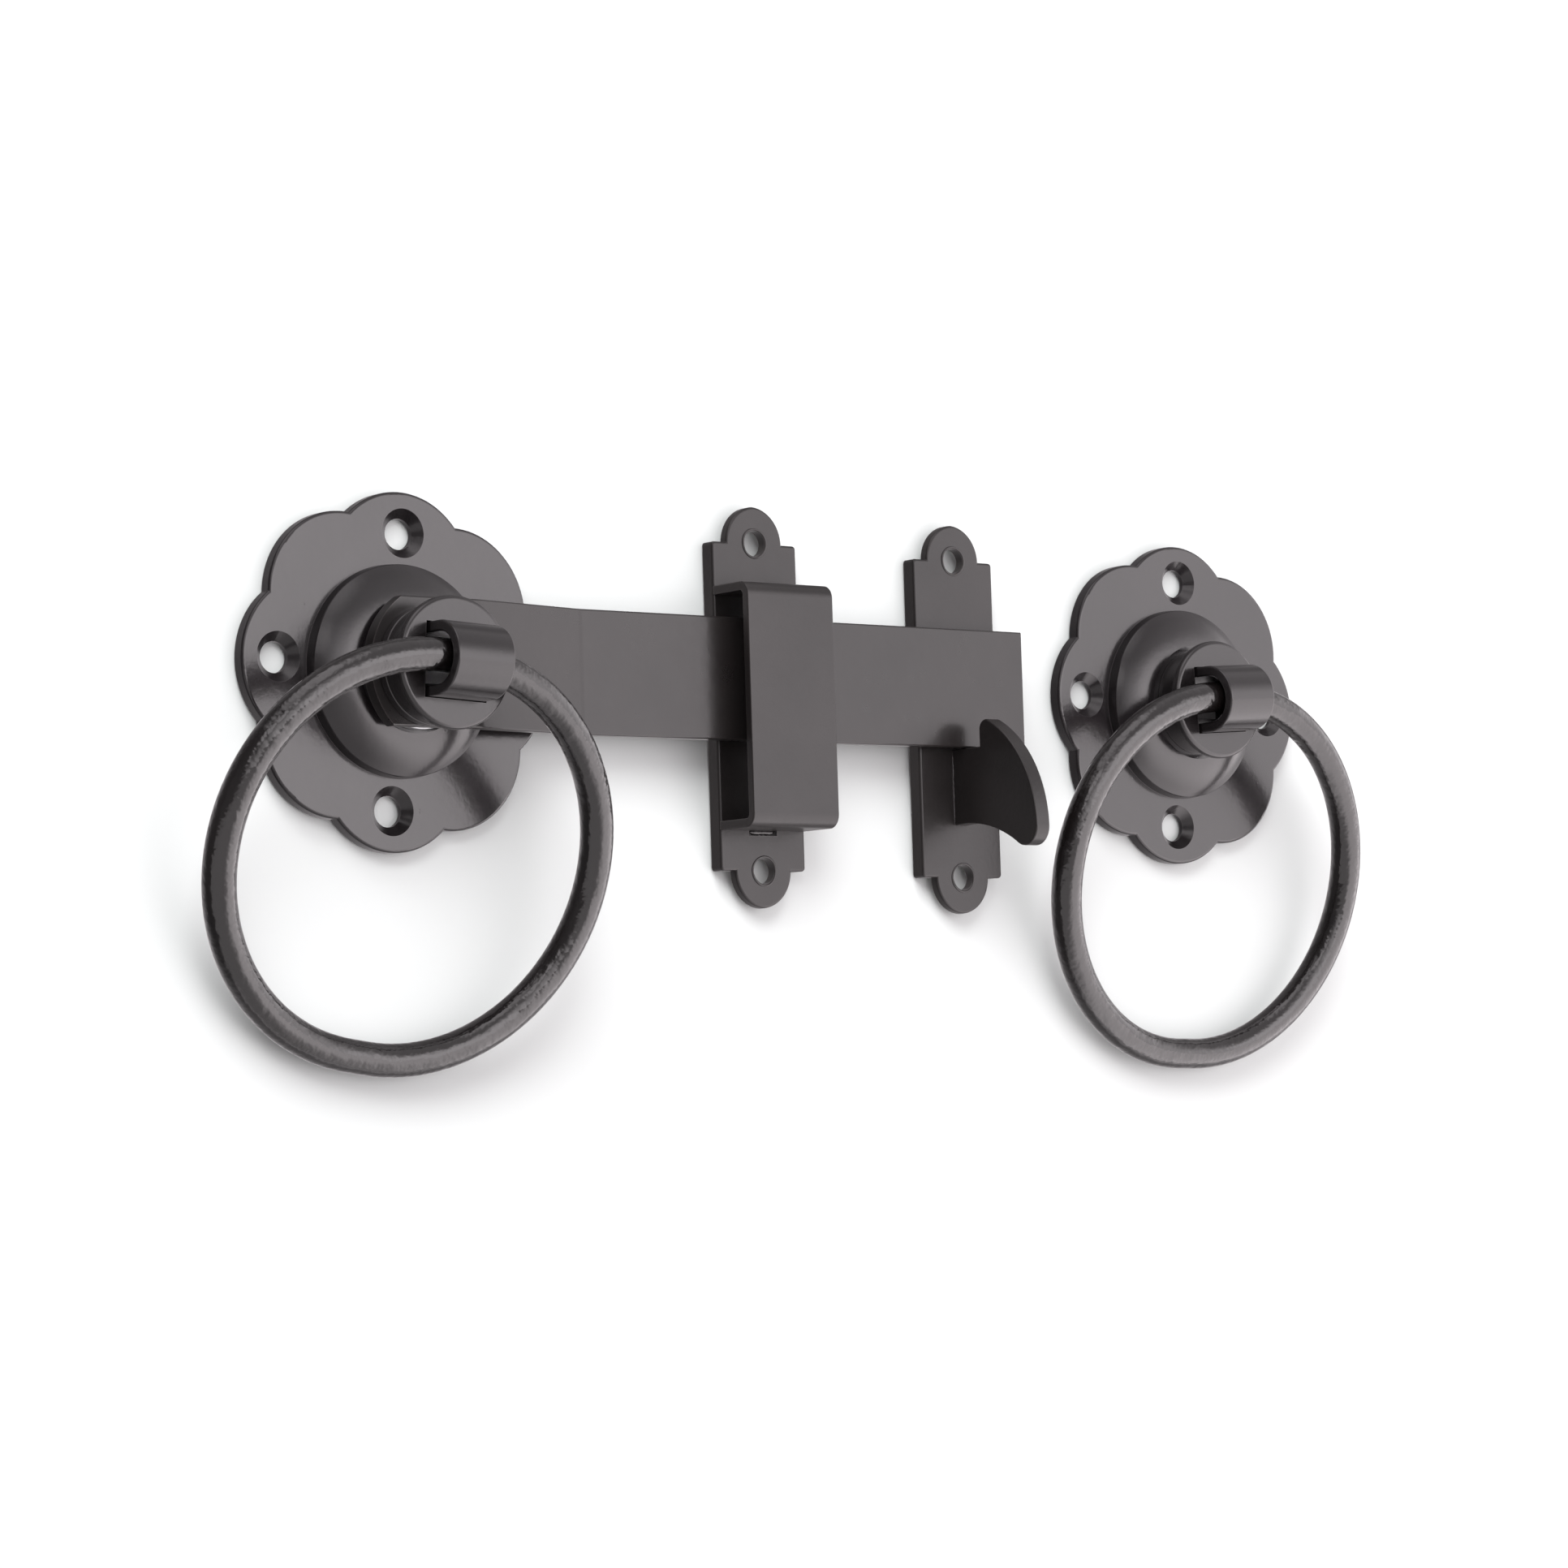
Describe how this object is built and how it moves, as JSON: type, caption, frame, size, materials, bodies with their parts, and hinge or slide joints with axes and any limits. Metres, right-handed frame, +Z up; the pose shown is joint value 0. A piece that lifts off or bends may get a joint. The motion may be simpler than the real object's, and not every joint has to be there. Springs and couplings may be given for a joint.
{
  "type": "ring handle gate latch",
  "caption": "Ring-handled gate latch: two ring handles on scalloped roses turn a square spindle that lifts a cranked latch arm through a guide hoop out of a hooked catch.",
  "frame": {"origin": "on the front spindle's axis, where it meets the gate face that every back plate is screwed to", "axes": "+X runs along the latch arm from the front handle towards the catch, +Z is up, and +Y goes into the gate, so every part stands out of the gate face towards -Y"},
  "size_m": [0.3246, 0.06, 0.1268],
  "materials": {
    "black_paint": "satin",
    "ring_paint": "semi-gloss",
    "zinc_plate": "satin"
  },
  "bodies": {
    "gate_fixings": {"front_rose": "black_paint", "rear_rose": "black_paint", "guide_plate": "black_paint", "guide_hoop": "black_paint", "catch_plate": "black_paint", "catch_hook": "black_paint"},
    "front_handle": {"front_hub": "black_paint", "front_ring_eye": "black_paint", "latch_arm": "black_paint", "spacing_collar": "black_paint", "arm_washer": "zinc_plate", "spindle": "zinc_plate", "front_retaining_washer": "zinc_plate", "front_retaining_clip": "zinc_plate"},
    "front_ring": {"front_ring": "ring_paint"},
    "rear_handle": {"rear_hub": "black_paint", "rear_ring_eye": "black_paint", "rear_retaining_washer": "zinc_plate", "rear_retaining_clip": "zinc_plate"},
    "rear_ring": {"rear_ring": "ring_paint"}
  },
  "joints": [
    {"name": "front_hub_turn", "type": "hinge", "parent": "gate_fixings", "child": "front_handle", "pos_m": [0, 0, 0], "axis": [0, -1, 0], "range_deg": [0, 2.6]},
    {"name": "front_ring_swing", "type": "hinge", "parent": "front_handle", "child": "front_ring", "pos_m": [0, -0.0291, 0], "axis": [-0.9874, 0, 0.1582], "range_deg": [0, 214]},
    {"name": "rear_hub_turn", "type": "hinge", "parent": "gate_fixings", "child": "rear_handle", "pos_m": [0.223, 0, 0], "axis": [0, -1, 0], "range_deg": [-2.6, 0]},
    {"name": "rear_ring_swing", "type": "hinge", "parent": "rear_handle", "child": "rear_ring", "pos_m": [0.223, -0.02185, 0], "axis": [-0.9997, 0, 0.0262], "range_deg": [0, 204]}
  ],
  "couplings": [
    {"joint": "rear_hub_turn", "follows": "front_hub_turn", "ratio": -1}
  ]
}
